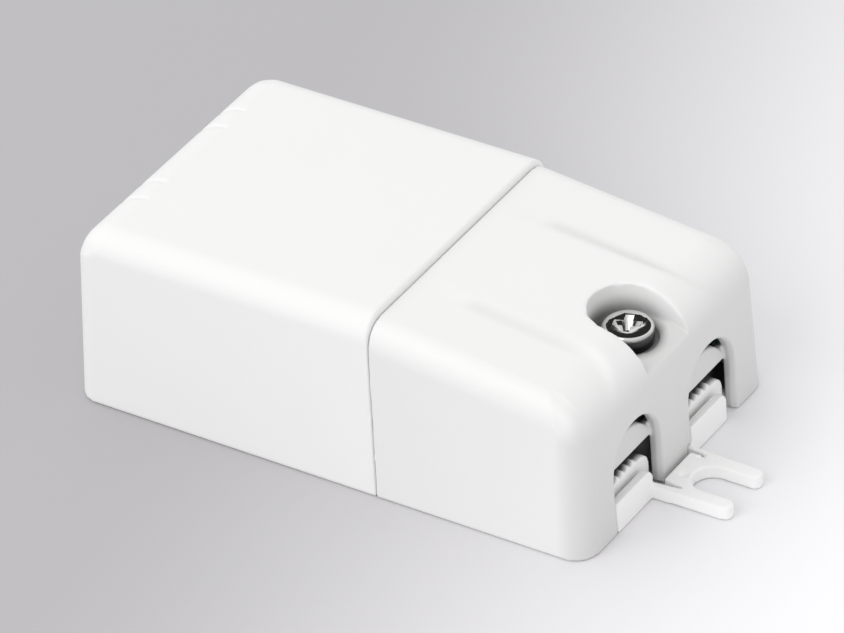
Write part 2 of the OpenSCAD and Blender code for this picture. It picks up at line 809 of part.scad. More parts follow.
module heat_spreader() {
    color([0.7, 0.71, 0.73]) place() difference() {
        block(spreader_x, spreader_x + spreader_t, spreader_w, board_top, board_top + spreader_h);
        for (s = [-1, 1]) transistor_bore(s, transistor_screw_d + screw_play);
    }
}

// Round hole for the screw of one transistor
module transistor_bore(s, d) {
    translate([0, s * transistor_pitch / 2, transistor_screw_z]) rotate([0, 90, 0])
        cylinder(d = d, h = far);
}

// Three leads of each transistor, through the board
module transistor_leads(d) {
    for (s = [-1, 1], i = [-1, 0, 1])
        post(transistor_x + transistor_t / 2, s * transistor_pitch / 2 + i * lead_pitch, d,
             board_z - 1, transistor_z + eps);
}

module power_transistors() {
    color([0.15, 0.15, 0.16]) place() {
        difference() {
            for (s = [-1, 1])
                block(transistor_x, transistor_x + transistor_t, transistor_w, transistor_z,
                      transistor_z + transistor_h, s * transistor_pitch / 2);
            for (s = [-1, 1]) transistor_bore(s, transistor_screw_d + screw_play);
        }
        transistor_leads(lead_d);
    }
}

module transistor_screws() {
    color([0.75, 0.75, 0.76]) place() for (s = [-1, 1])
        translate([transistor_x + transistor_t, s * transistor_pitch / 2, transistor_screw_z])
            rotate([0, 90, 0]) pan_screw(transistor_screw_d, transistor_t + spreader_t,
                                         transistor_screw_head_d, transistor_screw_head_h);
}

// Can with a crimped neck near its foot
module buffer_capacitor() {
    color([0.12, 0.16, 0.3]) place() translate([buffer_x, buffer_y, board_top]) difference() {
        cylinder(d = buffer_d, h = buffer_h);
        translate([0, 0, 1.6]) rotate_extrude() translate([buffer_d / 2 + 0.25, 0]) circle(r = 0.6);
        translate([0, 0, buffer_h - 0.2]) cylinder(d = buffer_d - 1.6, h = 1);
    }
}

// Ring of rectangular section lying flat
module ring(d, bore, h) {
    difference() {
        cylinder(d = d, h = h);
        translate([0, 0, -1]) cylinder(d = bore, h = h + 2);
    }
}

module choke_core() {
    color([0.25, 0.3, 0.28]) place() translate([choke_x, choke_y, board_top + winding_t])
        ring(core_d, core_bore, core_h);
}

// Two half windings round the core, with the core bare between them
module choke_winding() {
    color([0.72, 0.42, 0.2]) place() translate([choke_x, choke_y, board_top]) difference() {
        ring(choke_d, core_bore - 2 * winding_t, core_h + 2 * winding_t);
        translate([0, 0, winding_t]) ring(core_d, core_bore, core_h);
        block(-far, far, 2, -1, far);
    }
}

module suppression_capacitor() {
    color([0.75, 0.6, 0.2]) place()
        block(film_x - film_t / 2, film_x + film_t / 2, film_l, board_top, board_top + film_h, film_y);
}

module varistor_leads(d) {
    for (s = [-1, 1])
        post(varistor_x, varistor_y + s * 2.5, d, board_z - 1, board_top + varistor_d / 4);
}

module varistor() {
    color([0.2, 0.35, 0.6]) place() {
        translate([varistor_x - varistor_t / 2, varistor_y, board_top + varistor_d / 2 + 0.4])
            rotate([0, 90, 0]) cylinder(d = varistor_d, h = varistor_t);
        varistor_leads(lead_d);
    }
}

module fuse() {
    color([0.5, 0.2, 0.15]) place() post(fuse_x, fuse_y, fuse_d, board_top, board_top + fuse_h);
}

// Drum core with a wound waist
module supply_inductor() {
    color([0.3, 0.3, 0.3]) place() translate([inductor_x, inductor_y, board_top]) {
        cylinder(d = inductor_d, h = inductor_rim);
        cylinder(d = inductor_d * 0.82, h = inductor_h);
        translate([0, 0, inductor_h - inductor_rim]) cylinder(d = inductor_d, h = inductor_rim);
    }
}

module bridge_rectifier() {
    color([0.16, 0.16, 0.17]) place()
        block(bridge_x - bridge_l / 2, bridge_x + bridge_l / 2, bridge_w, board_top,
              board_top + bridge_h, bridge_y);
}

module optocoupler() {
    color([0.9, 0.9, 0.88]) place()
        block(coupler_x - coupler_w / 2, coupler_x + coupler_w / 2, coupler_l, board_top,
              board_top + coupler_h, coupler_y);
}

module controller_chip() {
    x = terminal_x + terminal_l / 2;
    color([0.14, 0.14, 0.15]) place() {
        block(x - chip_l / 2, x + chip_l / 2, chip_w, board_top, board_top + chip_h);
        for (i = [0:6], s = [-1, 1])
            translate([x + (i - 3) * chip_pitch, 0, 0])
                block(-leg_w / 2, leg_w / 2, leg_l, board_top, board_top + leg_h,
                      s * (chip_w / 2 + 0.2));
    }
}

// Small parts soldered under the board
module surface_parts() {
    color([0.75, 0.68, 0.5]) place() for (i = [0:5], s = [-1, 1])
        translate([surface_x + i * surface_pitch, 0, 0])
            block(0, surface_l, surface_w, board_z - surface_h, board_z, s * surface_y);
}

housing();
terminal_cover();
base();
cover_screw();
circuit_board();
board_screws();
input_terminal();
output_terminal();
terminal_clamps();
terminal_screws();
heat_spreader();
power_transistors();
transistor_screws();
buffer_capacitor();
choke_core();
choke_winding();
suppression_capacitor();
varistor();
fuse();
supply_inductor();
bridge_rectifier();
optocoupler();
controller_chip();
surface_parts();
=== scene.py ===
import itertools
import json
import math

import bpy
from mathutils import Matrix, Vector


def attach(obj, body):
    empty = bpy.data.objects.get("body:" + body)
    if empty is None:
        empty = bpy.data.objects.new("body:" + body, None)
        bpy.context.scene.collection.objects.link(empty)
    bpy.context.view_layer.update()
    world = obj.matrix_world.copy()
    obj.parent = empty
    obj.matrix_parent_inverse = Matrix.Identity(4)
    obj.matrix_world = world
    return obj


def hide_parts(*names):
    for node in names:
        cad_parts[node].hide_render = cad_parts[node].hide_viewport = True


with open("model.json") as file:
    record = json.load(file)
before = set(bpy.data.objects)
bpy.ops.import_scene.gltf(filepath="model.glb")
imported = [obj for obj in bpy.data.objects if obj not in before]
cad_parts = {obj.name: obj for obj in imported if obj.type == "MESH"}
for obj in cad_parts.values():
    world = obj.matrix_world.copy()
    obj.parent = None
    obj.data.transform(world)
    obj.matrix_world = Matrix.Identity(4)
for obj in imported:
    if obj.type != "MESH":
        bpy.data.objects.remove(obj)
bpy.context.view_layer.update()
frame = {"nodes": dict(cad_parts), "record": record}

# Sizes in millimetres, with X counted from the closed end and Z from the flat bottom
REACH = 75.2
LENGTH = 65.8
WIDTH = 38.6
HEIGHT = 22.2
WALL = 1.5
FIT = 0.15
EDGE_R = 3.0

# Housing
HOUSING_L = 39.34
CLOSED_R = 4.7
GROOVES = (-9.65, -5.95, 5.95, 9.65)
GROOVE_R = 0.42
PLATE_WAY = 17.5
BOARD_WAY = (15.85, 6.3)

# Terminal cover with its middle band, entries and tongues
COVER_X = 39.46
COVER_H = 21.4
PANEL_R = 6.0
NOSE_R = 6.0
NOSE_HALF = 7.8
NOSE_DEPTH = 6.4
FOOT_Y = 8.4
ENTRY_Y = 7.8
ENTRY_R = 4.7
ENTRY_Z = 6.8
TONGUE_R = 4.95
TONGUE_T = 1.2
TONGUE_Z = 6.45
WEB_HALF = 0.8
WEB_Z = 8.15
POST_HALF = 3.6
POST_Z = 0.35

# Cover screw, its pocket and the column that it goes into
SCREW_X = 60.2
POCKET_R = 4.3
POCKET_Z = 15.9
POCKET_WALL = 1.3
RAMP_X = 63.1
RAMP_Z = 14.8
COUNTERBORE_R = 3.35
SEAT_Z = 15.5
HEAD_R = 2.9
HEAD_H = 2.2
SHANK_L = 11
SHANK_R = 1.5
COLUMN_R = 3.6
COLUMN_Z = 13.7
BORE_R = 1.6

# Base with its snap tabs, sills and lips
PLATE_T = 1.6
TRAY_X = (1.65, 64.0)
TRAY_HALF = 17.57
BOARD_Z = 4.4
BOSS_X = 59.5
BOSS_Y = 13.3
POSTS_X = (11.6, 35.3)
POSTS_Y = 14.1
PIN_Z = 6.6
SNAP_X = (7.0, 12.0)
SNAP_STEP = 20.3
HOOK_Y = 17.61
HOOK_Z = (8.8, 10.4)
SILL_X = (62.3, 64.3)
SILL_Z = 4.6
TEETH_Z = 5.2
TOOTH_STEP = 1.1
LIP_Z = 3.8

# Fixing fork
FORK_T = 1.6
FORK_X = 63.0
FORK_Y = -1.4
FORK_HALF = 4.2
BARS = (-4.65, 2.3)
PAD_X = 66.3
PAD_MARKS = ((67.89, 1.38), (67.72, -2.13))
SLIT_X = (65.9, 69.0)
SLOT_X = 70.8
SLOT_R = 2.2
PRONG_X = 74.3
PRONG_Y = 3.1
PRONG_R = 0.9

# Leans of the walls and falls of the tops, as the run for each millimetre
SIDE_LEAN = math.tan(math.radians(2.8))
CLOSED_LEAN = math.tan(math.radians(2.0))
CABLE_LEAN = -math.tan(math.radians(1.2))
SEAM_LEAN = -math.tan(math.radians(1.2))
PANEL_FALL = math.tan(math.radians(6.4))
NOSE_FALL = math.tan(math.radians(4.6))
# Turns between the faces that the roundings join, in degrees
CLOSED_TURN = 88.0
SIDE_TURN = 87.2
PANEL_TURN = 82.4
NOSE_TURN = 84.2

# Camera of the photograph: its place in metres, its turn and its lens
CAMERA_SPOT = (0.36159, -0.53102, 0.46937)
CAMERA_TURN = Vector((2.13765, 0.58309, -0.37684))
CAMERA_LENS = 310.02

# Studio: the key lamp, the white room from its closed side to its cable side, and the floor
KEY_SPOT = (-0.35, -1.05, 0.85)
KEY_SIZE = 1.3
KEY_WATTS = 5.9
ROOM_STRENGTH = 0.87
ROOM_TONES = (1.11, 0.93)
FLOOR_GREY = (0.51, 0.5, 0.515, 1)
FLOOR_WHITE = (0.985, 0.975, 0.995, 1)
# Colour of the painted shade and of the dark panel in the room
NEAR_BLACK = (0.03, 0.03, 0.03, 1)


# Bench tools

def place(x, y, z):
    # A point of the case in metres of the model's frame
    return Vector((x - REACH / 2, y, z)) / 1000


def case_point(co):
    # The same the other way round
    return Vector((co.x * 1000 + REACH / 2, co.y * 1000, co.z * 1000))


def only(obj):
    bpy.ops.object.select_all(action="DESELECT")
    bpy.context.view_layer.objects.active = obj
    obj.select_set(True)


def settle(name):
    obj = bpy.context.object
    obj.name = obj.data.name = name
    bpy.ops.object.transform_apply(location=True, rotation=True, scale=True)
    return obj


def with_modifier(obj, kind, **values):
    # Adds a modifier with its values and applies it
    only(obj)
    mod = obj.modifiers.new(kind.lower(), kind)
    for key, value in values.items():
        setattr(mod, key, value)
    bpy.ops.object.modifier_apply(modifier=mod.name)


def block(name, low, high):
    bpy.ops.object.select_all(action="DESELECT")
    middle = [(a + b) / 2 for a, b in zip(low, high)]
    bpy.ops.mesh.primitive_cube_add(
        size=0.001, location=place(*middle), scale=[b - a for a, b in zip(low, high)])
    return settle(name)


def rod(name, radius, start, end, sides=64):
    bpy.ops.object.select_all(action="DESELECT")
    a, b = place(*start), place(*end)
    bpy.ops.mesh.primitive_cylinder_add(
        vertices=sides, radius=radius / 1000, depth=(b - a).length, location=(a + b) / 2,
        rotation=(b - a).to_track_quat("Z", "Y").to_euler())
    return settle(name)


def pick(obj, kind, rule):
    # Edit mode with only those corners, edges or faces selected that fit the rule
    only(obj)
    bpy.ops.object.mode_set(mode="EDIT")
    bpy.ops.mesh.select_mode(type=kind)
    bpy.ops.mesh.select_all(action="DESELECT")
    bpy.ops.object.mode_set(mode="OBJECT")
    spots = [case_point(v.co) for v in obj.data.vertices]
    if kind == "VERT":
        for vertex, spot in zip(obj.data.vertices, spots):
            vertex.select = rule(spot)
    elif kind == "EDGE":
        for edge in obj.data.edges:
            edge.select = rule(spots[edge.vertices[0]], spots[edge.vertices[1]])
    else:
        for face in obj.data.polygons:
            face.select = rule(case_point(face.center), face.normal)
    bpy.ops.object.mode_set(mode="EDIT")


def leave():
    bpy.ops.object.mode_set(mode="OBJECT")


def saw(obj, spot, outward):
    # Cuts off what lies beyond a plane and closes the cut
    pick(obj, "FACE", lambda p, n: True)
    bpy.ops.mesh.bisect(plane_co=spot, plane_no=outward, use_fill=True, clear_outer=True)
    leave()


def round_edges(obj, rule, offset, segments):
    pick(obj, "EDGE", rule)
    bpy.ops.mesh.bevel(offset=offset / 1000, segments=segments, profile=0.5, clamp_overlap=False)
    leave()


def level(z):
    # Rule for the edges that lie at one height
    return lambda a, b: all(abs(p.z - z) < 0.01 for p in (a, b))


def upright(x):
    # Rule for the upright edges at one X
    return lambda a, b: abs(a.z - b.z) > 0.5 and all(abs(p.x - x) < 0.01 for p in (a, b))


def run(radius, turn):
    # Distance from a sharp edge to where its rounding starts
    return radius * math.tan(math.radians(turn) / 2)


def slanted(name, low, high, corners):
    # A block with some of its corners moved; (0, 1, 1) is low X, high Y, high Z
    obj = block(name, low, high)
    for which, point in corners.items():
        start = Vector([(low, high)[side][axis] for axis, side in enumerate(which)])
        pick(obj, "VERT", lambda p: (p - start).length < 0.005)
        bpy.ops.transform.translate(value=(Vector(point) - start) / 1000)
        leave()
    return obj


def combine(obj, tool, how="DIFFERENCE"):
    with_modifier(obj, "BOOLEAN", operation=how, solver="EXACT", object=tool)
    bpy.data.objects.remove(tool)


def join(obj, parts):
    # The parts overlap, and moulded() makes one skin of them
    bpy.ops.object.select_all(action="DESELECT")
    for part in parts:
        part.select_set(True)
    obj.select_set(True)
    bpy.context.view_layer.objects.active = obj
    bpy.ops.object.join()


def twin(obj, name, shift=(0, 0, 0)):
    # A copy with its own mesh, moved by millimetres
    only(obj)
    bpy.ops.object.duplicate()
    bpy.ops.transform.translate(value=Vector(shift) / 1000)
    return settle(name)


def moulded(obj, grid, rounds):
    # Turns the sharp shape into a moulding with soft edges
    with_modifier(obj, "REMESH", mode="VOXEL", voxel_size=grid / 1000)
    with_modifier(obj, "SMOOTH", factor=0.5, iterations=rounds)


def melt(obj, rule, rounds):
    # Softens one stretch of a moulding further
    group = obj.vertex_groups.new(name="melt")
    chosen = [v.index for v in obj.data.vertices if rule(case_point(v.co), v.normal)]
    group.add(chosen, 1, "REPLACE")
    with_modifier(obj, "SMOOTH", factor=0.5, iterations=rounds, vertex_group=group.name)
    # Applying rebuilds the groups, so this one is looked up again
    obj.vertex_groups.remove(obj.vertex_groups["melt"])


def thin_out(obj, share):
    with_modifier(obj, "DECIMATE", ratio=share)
    bpy.ops.object.shade_smooth()


# Forms of the case

def corner(end, top):
    # Where an end wall (x at the bottom, lean) meets a top (height at X = 0, fall)
    z = (top[0] - top[1] * end[0]) / (1 + top[1] * end[1])
    return end[0] + end[1] * z, z


def case_form(name, half, ends, top, rounded, offset, edge_offset, floor=0.0):
    # Drafted box between two end walls, with rounded side edges that roll round one end
    tops = [corner(end, top) for end in ends]
    feet = [end[0] + end[1] * floor for end in ends]
    wide = half - floor * SIDE_LEAN
    tall = tops[0][1]
    corners = {}
    for i in (0, 1):
        for j, side in ((0, -1), (1, 1)):
            x, z = tops[i]
            corners[(i, j, 1)] = (x, side * (half - z * SIDE_LEAN), z)
    obj = slanted(name, (feet[0], -wide, floor), (feet[1], wide, tall), corners)
    end_x, end_z = tops[rounded]
    other = ends[1 - rounded]

    def weight(a, b):
        # The end's top edge gets the wide rounding and the side edges the narrow one
        if all(abs(p.x - end_x) + abs(p.z - end_z) < 0.01 for p in (a, b)):
            return offset
        on_side = all(abs(abs(p.y) - half + p.z * SIDE_LEAN) < 0.005 for p in (a, b))
        at_floor = all(abs(p.z - floor) < 0.005 for p in (a, b))
        at_seam = all(abs(p.x - other[0] - other[1] * p.z) < 0.005 for p in (a, b))
        return edge_offset if on_side and not at_floor and not at_seam else 0

    widest = max(offset, edge_offset)
    weights = obj.data.attributes.new("bevel_weight_edge", "FLOAT", "EDGE")
    for edge, value in zip(obj.data.edges, weights.data):
        ends_of_edge = (case_point(obj.data.vertices[i].co) for i in edge.vertices)
        value.value = weight(*ends_of_edge) / widest
    with_modifier(obj, "BEVEL", limit_method="WEIGHT", width=widest / 1000, segments=16,
                  use_clamp_overlap=False)
    return obj


def panel_form(name, inset, start, end, floor=0.0):
    # The cover without its middle band, smaller by a wall or a collar
    height = COVER_H - inset / math.cos(math.atan(PANEL_FALL)) + COVER_X * PANEL_FALL
    turned = end[1] != 0
    return case_form(name, WIDTH / 2 - inset, (start, end), (height, PANEL_FALL), 1,
                     run(PANEL_R - inset, PANEL_TURN) if turned else 0,
                     run(max(EDGE_R - inset, 0.3), SIDE_TURN), floor)


# Housing

def housing_form(name, inset, floor=0.0):
    # The housing's outside, or its hollow when smaller by a wall
    ends = ((inset, CLOSED_LEAN), (HOUSING_L - inset, SEAM_LEAN))
    return case_form(name, WIDTH / 2 - inset, ends, (HEIGHT - inset, 0), 0,
                     run(CLOSED_R - inset, CLOSED_TURN), run(EDGE_R - inset, SIDE_TURN), floor)


def grip_groove(y):
    # Shallow groove over the rounded edge of the closed end
    turn_z = HEIGHT - CLOSED_R
    turn_x = turn_z * CLOSED_LEAN + CLOSED_R / math.cos(math.atan(CLOSED_LEAN))
    bpy.ops.object.select_all(action="DESELECT")
    bpy.ops.mesh.primitive_torus_add(
        location=place(turn_x, y, turn_z), rotation=(math.pi / 2, 0, 0),
        major_radius=(CLOSED_R + 0.2) / 1000, minor_radius=GROOVE_R / 1000,
        major_segments=128, minor_segments=16)
    groove = settle("grip_groove")
    for direction in ((1, 0, 0), (0, 0, -1)):
        saw(groove, place(turn_x + 0.07, y, turn_z - 0.07), direction)
    return groove


def make_housing():
    shell = housing_form("housing_shell", 0)
    combine(shell, housing_form("hollow", WALL, -1))
    gap = WALL + FIT
    collar = panel_form("collar", gap, (HOUSING_L - 1, 0), (HOUSING_L + 1.8, 0), PLATE_T + FIT)
    combine(collar, panel_form("core", gap + 1, (HOUSING_L, 0), (HOUSING_L + 3, 0), -1))
    combine(shell, collar, "UNION")
    # Ways through the partition for the base plate and the board
    past = HOUSING_L + 4
    combine(shell, block("plate_way", (HOUSING_L - 3, -PLATE_WAY, -1),
                         (past, PLATE_WAY, PLATE_T + FIT)))
    combine(shell, block("board_way", (HOUSING_L - 2.5, -BOARD_WAY[0], -1), (past, *BOARD_WAY)))
    low_y, high_y = 17.1, HOOK_Y + FIT
    recess = block("hook_recess", (SNAP_X[0] - FIT, low_y, HOOK_Z[0] - FIT),
                   (SNAP_X[1] + FIT, high_y, HOOK_Z[1] + FIT))
    for x in (0, SNAP_STEP):
        for y in (0, -(low_y + high_y)):
            combine(shell, twin(recess, "recess", (x, y, 0)))
    bpy.data.objects.remove(recess)
    groove = grip_groove(0)
    for y in GROOVES:
        combine(shell, twin(groove, "groove", (0, y, 0)))
    bpy.data.objects.remove(groove)
    moulded(shell, 0.19, 5)
    thin_out(shell, 0.42)
    return shell


# Terminal cover

def nose_form():
    # Raised middle band with leaning flanks
    spread = NOSE_DEPTH * 0.9
    top = (COVER_H + 0.01 + COVER_X * NOSE_FALL, NOSE_FALL)
    leans = (SEAM_LEAN, CABLE_LEAN)
    tops = [corner(end, top) for end in zip((COVER_X - 0.6, LENGTH - 0.05), leans)]
    low = (tops[0][0], -NOSE_HALF, tops[0][1] - NOSE_DEPTH)
    high = (tops[1][0], NOSE_HALF, tops[0][1])
    corners = {}
    for i, lean in enumerate(leans):
        x, z = tops[i]
        foot_x, foot_z = x - lean * NOSE_DEPTH, z - NOSE_DEPTH
        for j, side in ((0, -1), (1, 1)):
            corners[(i, j, 0)] = (foot_x, side * (NOSE_HALF + spread), foot_z)
            corners[(i, j, 1)] = (x, side * NOSE_HALF, z)
    nose = slanted("nose", low, high, corners)
    x, z = tops[1]
    round_edges(nose, lambda a, b: all(abs(p.x - x) + abs(p.z - z) < 0.01 for p in (a, b)),
                run(NOSE_R, NOSE_TURN), 16)
    return nose


def entry_cut(y, radius, x0, lean):
    # Arch of a cable entry, open at the bottom; its inner end leans with the wall
    inner, outer = x0 + lean * ENTRY_Z, LENGTH + 1.5
    arch = rod("arch", radius, (inner, y, ENTRY_Z), (outer, y, ENTRY_Z - lean * 2))
    foot = slanted("foot", (x0, y - radius, -1), (outer, y + radius, ENTRY_Z), {
        (0, 0, 1): (inner, y - radius, ENTRY_Z), (0, 1, 1): (inner, y + radius, ENTRY_Z)})
    combine(arch, foot, "UNION")
    return arch


def clamp_tongue(y):
    # Tongue that bridges an entry, with the two webs that tie it to the end wall
    front = LENGTH - WALL + FIT
    middle_z = ENTRY_Z - 1.75
    tongue = rod("tongue", TONGUE_R, (front - TONGUE_T, y, middle_z), (front, y, middle_z))
    saw(tongue, place(front, y, TONGUE_Z), (0, 0, -1))
    for side in (-1, 1):
        web_y = y + side * (ENTRY_R + 0.1)
        web = block("web", (front - TONGUE_T + 0.01, web_y - WEB_HALF, TONGUE_Z + 0.01),
                    (front - FIT, web_y + WEB_HALF, WEB_Z))
        combine(tongue, web, "UNION")
    return tongue


def screw_housing():
    # Block round the screwdriver pocket that stands on the column of the base
    radius, high = POCKET_R + POCKET_WALL, 25
    body = rod("screw_housing", radius, (SCREW_X, 0, POCKET_Z - POCKET_WALL), (SCREW_X, 0, high))
    combine(body, block("front", (SCREW_X, -radius, COLUMN_Z + 0.1),
                        (LENGTH - 0.02, radius, high)), "UNION")
    combine(body, rod("foot", COLUMN_R, (SCREW_X, 0, COLUMN_Z), (SCREW_X, 0, 20)), "UNION")
    return body


def cut_pocket(cover):
    # Screwdriver pocket, round behind the screw and open towards the cable end
    past, high = LENGTH + 1, 30
    combine(cover, rod("pocket", POCKET_R, (SCREW_X, 0, POCKET_Z), (SCREW_X, 0, high), 96))
    combine(cover, block("way", (SCREW_X, -POCKET_R, POCKET_Z), (past, POCKET_R, high)))
    combine(cover, slanted("ramp", (RAMP_X, -POCKET_R, 15.1), (past, POCKET_R, 17), {
        (0, 0, 0): (RAMP_X, -POCKET_R, POCKET_Z), (0, 1, 0): (RAMP_X, POCKET_R, POCKET_Z),
        (1, 0, 0): (past, -POCKET_R, RAMP_Z), (1, 1, 0): (past, POCKET_R, RAMP_Z)}))
    combine(cover, rod("counterbore", COUNTERBORE_R, (SCREW_X, 0, SEAT_Z), (SCREW_X, 0, high)))
    combine(cover, rod("screw_hole", BORE_R, (SCREW_X, 0, 10), (SCREW_X, 0, high)))


def flank(p, n):
    # Flanks of the middle band, nearer to its middle beside the pocket
    inner = 5.4 if p.x > SCREW_X - 5.5 else NOSE_HALF - 3
    return (p.x > COVER_X + 0.9 and p.z > 12.6 and n.x + n.z > 0.6
            and inner < abs(p.y) < NOSE_HALF + 4)


def rim(p, n):
    # Rim of the pocket
    out = abs(p.y) if p.x > SCREW_X else math.hypot(p.x - SCREW_X, p.y)
    return 3.5 < out < 5.3 and p.z > 17.2 and p.x < 64.5


def make_cover():
    cover = panel_form("cover_shell", 0, (COVER_X - 1, SEAM_LEAN), (LENGTH, CABLE_LEAN))
    combine(cover, nose_form(), "UNION")
    saw(cover, place(COVER_X, 0, 0), (-1, 0, SEAM_LEAN))
    around_screw = screw_housing()
    combine(around_screw, panel_form(
        "outline", 0.5, (COVER_X, SEAM_LEAN), (LENGTH - 0.5, CABLE_LEAN)), "INTERSECT")
    combine(cover, panel_form(
        "hollow", WALL, (COVER_X - WALL, SEAM_LEAN), (LENGTH - WALL, CABLE_LEAN), -1))
    inside, past = LENGTH - WALL - 1, LENGTH + 1
    for y in (-ENTRY_Y, ENTRY_Y):
        combine(cover, entry_cut(y, ENTRY_R, inside, 0))
        combine(cover, entry_cut(y, ENTRY_R + 0.15, LENGTH - 0.4, CABLE_LEAN))
    # Way for the fork's bar, and the gap under the post between the entries
    combine(cover, block("fork_way", (inside, BARS[1] - 0.2, -1),
                         (past, POST_HALF, FORK_T + 0.3)))
    combine(cover, block("post_foot", (inside, -POST_HALF, -1), (past, POST_HALF, POST_Z)))
    combine(cover, around_screw, "UNION")
    for y in (-ENTRY_Y, ENTRY_Y):
        combine(cover, clamp_tongue(y), "UNION")
    cut_pocket(cover)
    moulded(cover, 0.16, 5)
    melt(cover, flank, 120)
    melt(cover, rim, 24)
    thin_out(cover, 0.4)
    return cover


# Base

def fork_form():
    # Two bars run out of the tray, carry the pad between them and end as prongs
    y = FORK_Y
    fork = block("fork", (FORK_X, y - FORK_HALF, 0), (LENGTH, y + FORK_HALF, FORK_T))
    pick(fork, "FACE", lambda p, n: n.x > 0.9)
    bpy.ops.mesh.extrude_region_move(
        TRANSFORM_OT_translate={"value": ((PRONG_X - LENGTH) / 1000, 0, 0)})
    bpy.ops.transform.resize(value=(1, (PRONG_Y + PRONG_R) / FORK_HALF, 1),
                             center_override=place(PRONG_X, y, 0))
    leave()
    combine(fork, rod("slot_root", SLOT_R, (SLOT_X, y, -1), (SLOT_X, y, 3)))
    combine(fork, block("slot", (SLOT_X, y - SLOT_R, -1), (80, y + SLOT_R, 3)))
    combine(fork, block("pad_gap", (62, BARS[0], -1), (PAD_X, BARS[1], 3)))
    # A slit between each bar and the pad, from the bar's full width down to a point
    for bar, pad, end in ((BARS[0], -3.75, -4.25), (BARS[1], 1.7, 2.05)):
        inner, outer = sorted((pad, bar))
        tip = SLIT_X[1]
        combine(fork, slanted("slit", (SLIT_X[0], inner, -1), (tip, outer, 3), {
            (1, 0, 0): (tip, end - 0.13, -1), (1, 0, 1): (tip, end - 0.13, 3),
            (1, 1, 0): (tip, end + 0.13, -1), (1, 1, 1): (tip, end + 0.13, 3)}))
    for spot in PAD_MARKS:
        combine(fork, rod("mark", 0.5, (*spot, FORK_T - 0.3), (*spot, 3), 24))
    tips = [y + side * PRONG_Y for side in (-1, 1)]
    join(fork, [rod("tip", PRONG_R, (PRONG_X, tip, 0), (PRONG_X, tip, FORK_T), 32)
                for tip in tips])
    return fork


def toothed_sill(y):
    y0, y1 = y - ENTRY_R + FIT, y + ENTRY_R - 3 * FIT
    sill = block("sill", (SILL_X[0], y0, 0), (SILL_X[1], y1, SILL_Z))
    round_edges(sill, lambda a, b: level(SILL_Z)(a, b) and abs(a.y - b.y) < 0.01, 1.7, 10)
    back, front = SILL_X[0] + 0.01, SILL_X[1] - 0.01
    tooth = slanted("tooth", (back, 0, SILL_Z - 0.1), (front, 0.935, TEETH_Z), {
        (0, 0, 1): (back, 0.25, TEETH_Z), (1, 0, 1): (front, 0.25, TEETH_Z),
        (0, 1, 1): (back, 0.32, TEETH_Z), (1, 1, 1): (front, 0.32, TEETH_Z)})
    first = (y0 + y1) / 2 - 2 * TOOTH_STEP
    for i in range(4):
        combine(sill, twin(tooth, "one_tooth", (0, first + i * TOOTH_STEP, 0)), "UNION")
    bpy.data.objects.remove(tooth)
    # The back falls away into the wiring space
    combine(sill, slanted("behind", (61, y - 6, 2.2), (63.4, y + 6, 6), {
        (1, 0, 0): (63.4, y - 6, 5.3), (1, 1, 0): (63.4, y + 6, 5.3)}))
    return sill


def lip(y):
    start, end = y - ENTRY_R - 0.05, y + 2.65
    body = block("lip", (LENGTH - 1, start, 0), (LENGTH, end, LIP_Z))
    round_edges(body, lambda a, b: all(abs(p.z - LIP_Z) + abs(p.y - end) < 0.01 for p in (a, b)),
                1.3, 10)
    combine(body, block("lip_floor", (62.9, start + 0.01, 0),
                        (LENGTH - 0.01, end - 0.01, FORK_T)), "UNION")
    return body


def snap_tab():
    # Springy tab with the hook that snaps into the housing
    tab = block("snap_tab", (SNAP_X[0], 16.01, 1.5), (SNAP_X[1], 17.11, 11.0))
    x0, x1, high = SNAP_X[0] + 0.01, SNAP_X[1] - 0.01, HOOK_Z[1]
    combine(tab, slanted("hook", (x0, 17.0, HOOK_Z[0]), (x1, HOOK_Y, high), {
        (0, 1, 1): (x0, 17.13, high), (1, 1, 1): (x1, 17.13, high)}), "UNION")
    return tab


def mirrored(obj):
    # The same piece on the other side
    pick(obj, "FACE", lambda p, n: True)
    bpy.ops.transform.resize(value=(1, -1, 1), center_override=place(0, 0, 0))
    bpy.ops.mesh.normals_make_consistent(inside=False)
    leave()
    return obj


def make_base():
    tray = block("base_tray", (TRAY_X[0], -TRAY_HALF, 0), (TRAY_X[1], TRAY_HALF, PLATE_T))
    for x in TRAY_X:
        round_edges(tray, upright(x), 1.5, 8)
    combine(tray, block("fork_gap", (62.85, BARS[0], -1), (80, BARS[1], 4)))
    combine(tray, rod("column", COLUMN_R, (SCREW_X, 0, 0.01), (SCREW_X, 0, COLUMN_Z)), "UNION")
    combine(tray, rod("column_bore", BORE_R, (SCREW_X, 0, 4), (SCREW_X, 0, 20), 48))
    parts = [fork_form()]
    for side in (-1, 1):
        # Bosses for the board's screws, and posts with a pin for its other end
        x, y = BOSS_X, side * BOSS_Y
        combine(tray, rod("boss", 2.5, (x, y, 0.01), (x, y, BOARD_Z), 48), "UNION")
        combine(tray, rod("bore", 1.1, (x, y, 0.6), (x, y, 9), 32))
        y = side * POSTS_Y
        for x, radius, top in ((POSTS_X[0], 2, BOARD_Z), (POSTS_X[0], 1, PIN_Z),
                               (POSTS_X[1], 2, BOARD_Z)):
            parts.append(rod("post", radius, (x, y, 0.01), (x, y, top), 48))
        parts += [lip(side * ENTRY_Y), toothed_sill(side * ENTRY_Y)]
    tab = snap_tab()
    for x in (0, SNAP_STEP):
        parts.append(twin(tab, "tab", (x, 0, 0)))
        parts.append(mirrored(twin(tab, "tab", (x, 0, 0))))
    bpy.data.objects.remove(tab)
    join(tray, parts)
    moulded(tray, 0.15, 4)
    thin_out(tray, 0.35)
    return tray


# Cover screw

